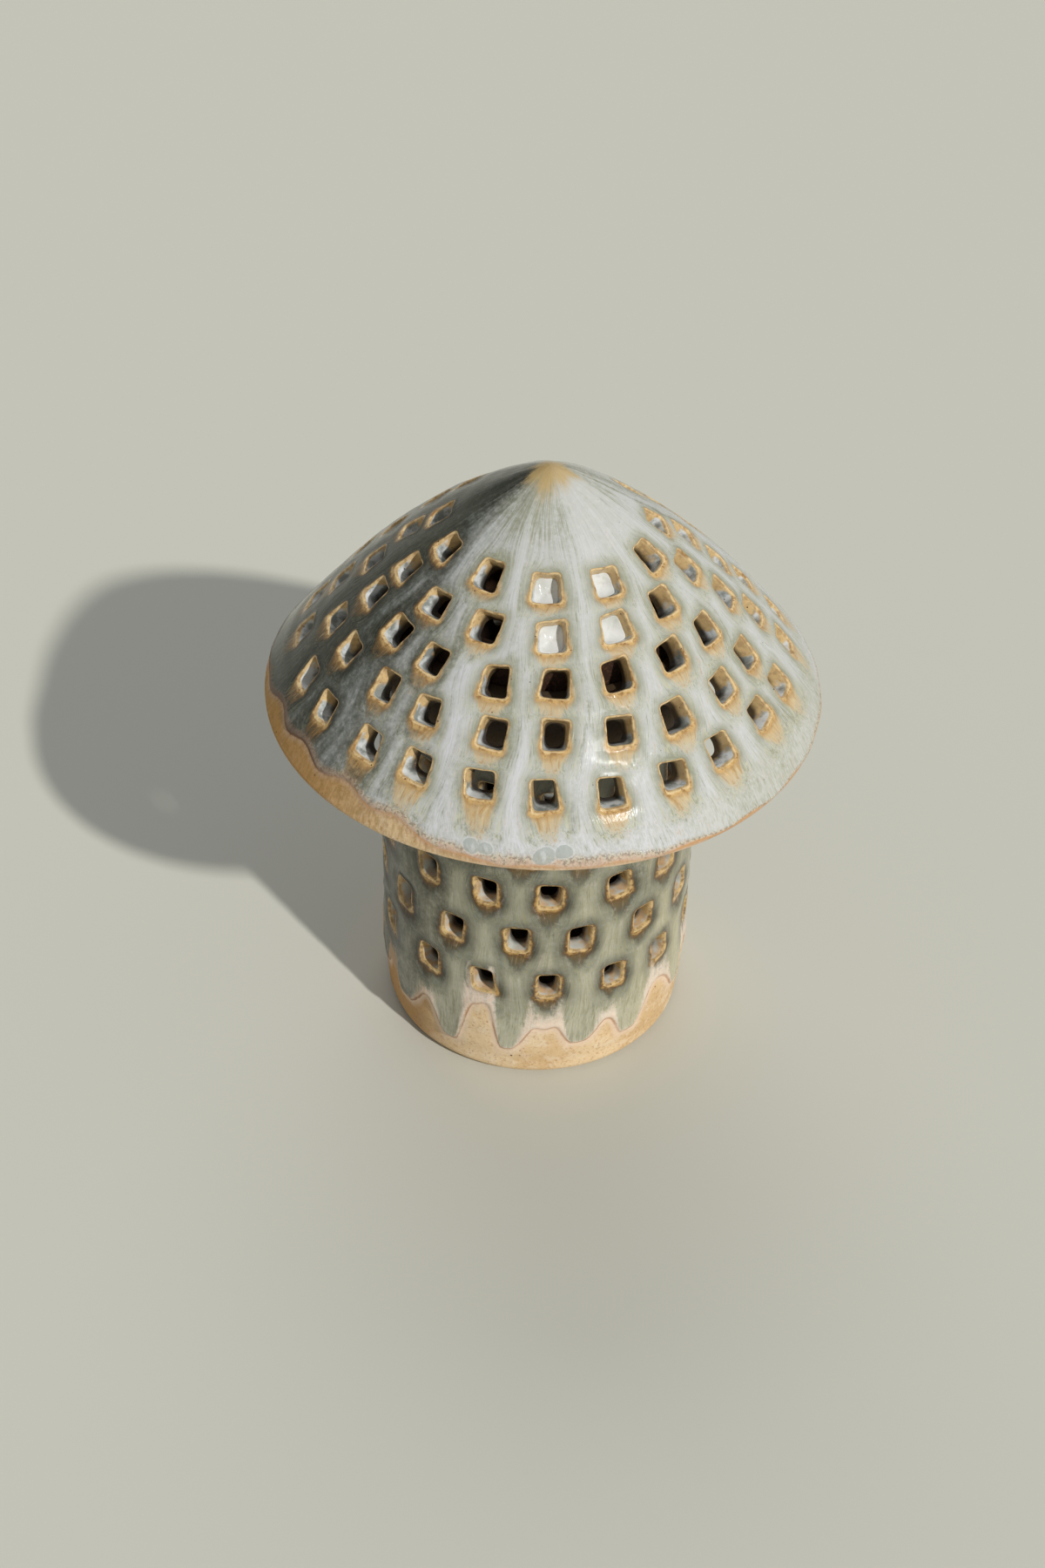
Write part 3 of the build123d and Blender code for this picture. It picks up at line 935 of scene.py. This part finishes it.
def stemGlazeEdge(azimuth):
    # height above the table where the glaze stops: high below each hole, with drips between
    count = stemBands[-1]["count"]
    turns = ((azimuth - radians(stem["rowTurn"])) / (2 * pi) * count) % count
    k = np.floor(turns).astype(int) % count
    part = turns - np.floor(turns)
    middle = 0.5 + np.array(stem["leans"])[k] / 24
    nearest = np.where(part < middle, k, (k + 1) % count)
    off = np.abs(part - middle) / np.where(part < middle, middle, 1 - middle)
    hang = 0.08 * off + 0.92 * smooth(off, 0.17 + 0.05 * np.sin(k * 1.7), np.array(stem["arches"])[nearest])
    peak = np.array(stem["peaks"])[nearest]
    drip = np.array(stem["drips"])[k]
    edge = drip + (peak - drip) * hang + 0.5 * np.sin(azimuth * 41 + 1) * hang
    return edge, 0.9 + (2.7 + 1.3 * np.sin(nearest * 2.7 + 1.2)) * smooth(hang, 0.05, 1.0)


def stemFields(azimuth, s, depth):
    field = holeFields(stemHoles, azimuth, s, depth)
    height = stem["top"] - stem["rimRound"] - (s - stemRimS)
    turned = azimuth + field["bend"] / stem["radius"] + 0.012 * np.sin(s * 0.2 + 3 * azimuth)
    tone = toneAndShadeRound(azimuth)
    edge, thin = stemGlazeEdge(azimuth)
    bareNeck = stem["neck"] + wander(azimuth, 0, 4, 1.6)
    steep = (stemGlazeEdge(azimuth + 0.012)[0] - stemGlazeEdge(azimuth - 0.012)[0]) / 0.024 / stem["radius"]
    cover = np.where(depth > 0, 6.0, np.minimum((height - edge) / np.sqrt(1 + steep ** 2), s - stemRimS - bareNeck))
    onSide = smooth(s, stemRimS + 1, stemRimS + 8) * (1 - smooth(s, underS - 8, underS))
    lumps = wander(azimuth * 2, s * 2, 6, 0.20) + wander(azimuth * 5, s * 4, 8, 0.08)
    lumps = lumps + 0.07 * np.sin(height * 0.75 + 0.8 * np.sin(azimuth))
    fade = 1 - smooth(depth, 0.3, 2.5)
    thick = 0.30 * smooth(cover, -0.15, 1.0) + 0.26 * bump(cover, 1.0, 0.7) - 0.30
    relief = (field["relief"] + lumps) * onSide * fade + thick * (depth == 0) * onSide
    low = height < stem["firstRow"] + 6
    nearFoot = (1 - smooth(cover, 3, 9)) * low
    return relief, {
        "flow": flowOf(turned, s, field["column"]), "cover": cover,
        **{name: field[name] for name in ("edge", "lip", "column", "high")},
        "crown": s * 0, "tip": s * 0, "wash": s * 0, "blob": s * 0 - 1,
        # painted shade: the stem is lighter at the bottom and darker towards the top under the cap
        "dimShade": -1 + 1.4 * smooth(height, 36, 76),
        "thin": np.where((depth > 0) | ~low, 0, 1 - smooth(cover, thin * 0.1, thin * 2.1)),
        "skirt": field["skirt"] * (1 - 0.7 * nearFoot), "halo": field["halo"] * (1 - 0.8 * nearFoot),
        "tone": np.where(tone > 0, tone * 1.7, tone * 0.95),
        # painted shadow under the cap: the neck is kept darker than the foot, so that the holes of the cap look deep
        "shade": 0.50 * smooth(height, 99, 110),
        "dark": 0.85 * (1 - smooth(s, stemRimS + 10, stemRimS + 24)) * (depth == 0)}


stemOuter = Skin(poles=[stemLine.length])
stemInner = Skin(inward=True)
pierce(stemHoles, stemBands, stem, stemOuter, stemInner)
neck = bandRing(stem, stemBands[0], "top")
foot = bandRing(stem, stemBands[-1], "bottom")
stemOuter.rows(neck, np.linspace(0, stemRimS, 12))
stemOuter.rows(neck, np.linspace(stemRimS, stemBands[0]["top"], 24))
fineFoot = ringOf(2 * len(foot), foot[0, 1] + 0.5, foot[0, 0])
stemOuter.zip(foot, fineFoot)
stemOuter.rows(fineFoot, np.linspace(fineFoot[0, 1], underS, 48))
stemOuter.rows(fineFoot, np.linspace(underS, stemLine.length, 6))
stemInner.rows(neck + [0, 0, stem["wall"]], np.linspace(stemRimS, stemBands[0]["top"], 6))
stemInner.rows(foot + [0, 0, stem["wall"]], np.linspace(stemBands[-1]["bottom"], sOfHeight(stem["floor"] + 2), 6))


stemGlazed = pieceFrom("stemGlazed", stemOuter, stemLine, stemFields, "stem", stemFinish, ["stem_wall"])
# painted shade: the inside of the stem darkens below the rim
stemInside = pieceFrom("stemInside", stemInner, stemLine,
                       lambda azimuth, s, depth: (s * 0, {"dark": smooth(s, stemRimS + 2, stemRimS + 26)}),
                       "stem", insideShadeFinish)


def makeFloor():
    # the dished floor of the stem, with the spiral that the thrower's finger left
    bore = stem["radius"] - stem["wall"]
    fillet = 2
    fillR, fillZ = arc(bore - fillet, stem["floor"] + fillet, fillet, 0, -90, 8)
    line = Path(np.concatenate([fillR, [0]]), np.concatenate([fillZ, [stem["floor"]]]))
    skin = Skin(inward=True, poles=[line.length])
    skin.rows(ringOf(210, 0), np.concatenate([line.s[:8], np.linspace(line.s[7], line.length, 26)[1:]]))

    def fields(azimuth, s, depth):
        spiral = 0.35 * np.sin((s - line.s[7]) * 0.8 + azimuth) * smooth(s, line.s[7], line.s[7] + 6)
        # painted shade on the floor inside the stem
        return spiral * (1 - smooth(s, line.length - 4, line.length)), {"dark": np.full(len(s), 0.8)}

    return pieceFrom("stemFloor", skin, line, fields, "stem", insideShadeFinish, ["stem_floor"])


stemFloor = makeFloor()

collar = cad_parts["cap_collar"]
collar.data.materials.clear()
# the collar is painted dark as shade
collarShadeLook = dict(insideShadeLook, clay=(66, 47, 36), toasted=(56, 40, 30), grog=(78, 58, 44), soot=None)
collar.data.materials.append(bareClay("collarClayShaded", collarShadeLook))


# stage, light and camera
view = {
    "place": (0.0, -0.51706, 0.52331),
    "forward": (-0.00680, 0.75398, -0.65687),
    "up": (-0.03718, 0.65624, 0.75364),
    "lens": 56.24,
    "backdrop": shown(195, 194, 182),
    "paper": shown(200, 199, 187),
    # lamps in degrees, azimuth to the right of the front
    "key": {"azimuth": 40.0, "height": 37.0, "strength": 2.32, "softness": 2.0, "colour": (1.0, 0.975, 0.94)},
    "fill": {"azimuth": 188.0, "height": 38.0, "strength": 0.9, "softness": 50.0, "colour": (0.95, 0.97, 1.0)},
    "glint": {"azimuth": 40.0, "height": 37.0, "strength": 0.34, "softness": 2.5, "colour": (1.0, 1.0, 1.0)},
    "skyStrength": 0.30,
}


def makeCamera():
    data = bpy.data.cameras.new("camera")
    data.sensor_fit = "VERTICAL"
    data.sensor_height = 36
    data.lens = view["lens"]
    data.clip_start = 0.01
    camera = addObject("camera", data)
    forward = Vector(view["forward"]).normalized()
    right = forward.cross(Vector(view["up"])).normalized()
    turn = Matrix((right, right.cross(forward), -forward)).transposed().to_4x4()
    camera.matrix_world = Matrix.Translation(view["place"]) @ turn
    bpy.context.scene.camera = camera


def makeLamp(name):
    given = view[name]
    data = bpy.data.lights.new(name, "SUN")
    data.energy = given["strength"]
    data.angle = radians(given["softness"])
    data.color = given["colour"]
    lamp = addObject(name, data)
    azimuth = radians(given["azimuth"])
    height = radians(given["height"])
    toLamp = Vector((sin(azimuth) * cos(height), -cos(azimuth) * cos(height), sin(height)))
    lamp.rotation_euler = (-toLamp).to_track_quat("-Z", "Y").to_euler()
    lamp.visible_glossy = name == "glint"   # the other lamps leave no white patches on the glaze


def makeFloorPaper():
    reach = 30.0
    mesh = bpy.data.meshes.new("floor")
    mesh.from_pydata([(-reach, -reach, 0), (reach, -reach, 0), (reach, reach, 0), (-reach, reach, 0)], [],
                     [(0, 1, 2, 3)])
    paper = addObject("floor", mesh)
    material = bpy.data.materials.new("floorPaper")
    material.use_nodes = True
    shader = material.node_tree.nodes["Principled BSDF"]
    shader.inputs["Base Color"].default_value = view["paper"]
    shader.inputs["Roughness"].default_value = 0.95
    shader.inputs["Specular IOR Level"].default_value = 0
    mesh.materials.append(material)


def makeSky():
    world = bpy.data.worlds.new("sky")
    bpy.context.scene.world = world
    world.use_nodes = True
    tree = world.node_tree
    tree.nodes.clear()

    def node(kind, **given):
        made = tree.nodes.new("ShaderNode" + kind)
        for key, value in given.items():
            made.inputs[key].default_value = value
        return made

    backdrop = node("Background", Color=view["backdrop"])
    soft = node("Background", Color=(0.92, 0.96, 1.0, 1), Strength=view["skyStrength"])
    rays = node("LightPath")
    seen = rays.outputs["Is Camera Ray"]
    for kind in ("Is Glossy Ray", "Is Transmission Ray"):
        either = node("Math")
        either.operation = "MAXIMUM"
        tree.links.new(seen, either.inputs[0])
        tree.links.new(rays.outputs[kind], either.inputs[1])
        seen = either.outputs[0]
    mixer = node("MixShader")
    for i, source in enumerate((seen, soft.outputs[0], backdrop.outputs[0])):
        tree.links.new(source, mixer.inputs[i])
    tree.links.new(mixer.outputs[0], node("OutputWorld").inputs[0])


makeCamera()
for name in ("key", "fill", "glint"):
    makeLamp(name)
makeFloorPaper()
makeSky()
bpy.context.scene.view_settings.view_transform = "Standard"
print("stage, light and camera set")
